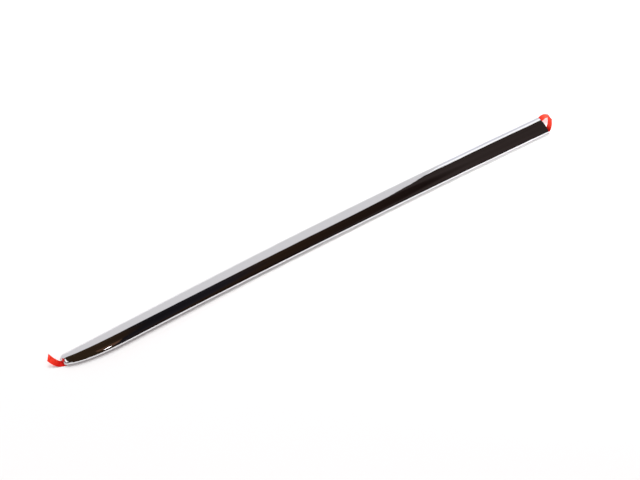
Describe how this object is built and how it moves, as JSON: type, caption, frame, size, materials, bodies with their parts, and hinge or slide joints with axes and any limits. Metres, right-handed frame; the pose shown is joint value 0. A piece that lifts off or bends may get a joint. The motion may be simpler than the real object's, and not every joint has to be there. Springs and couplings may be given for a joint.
{
  "type": "car body side moulding",
  "caption": "Long chrome-plated, crowned plastic strip with a swept tip and a cut end, stuck to a car's side by foam tapes under pull-off liners.",
  "frame": {"origin": "bottom centre of the whole part: the middle of its outline in plan, on the floor that its release liners lie on", "axes": "+X along the strip from the swept tip to the cut end, +Y towards the upper edge on the car, +Z out from the car's panel"},
  "size_m": [0.9942, 0.0458, 0.0296],
  "materials": {
    "chrome_plating": "bright mirror plating on moulded plastic",
    "foam_tape": "fine matt closed-cell foam",
    "release_film": "thin glossy red film"
  },
  "bodies": {
    "root": {"moulding": "chrome_plating", "foam_tape_upper": "foam_tape", "foam_tape_lower": "foam_tape", "release_liner_upper": "release_film", "release_liner_lower": "release_film"}
  },
  "joints": []
}
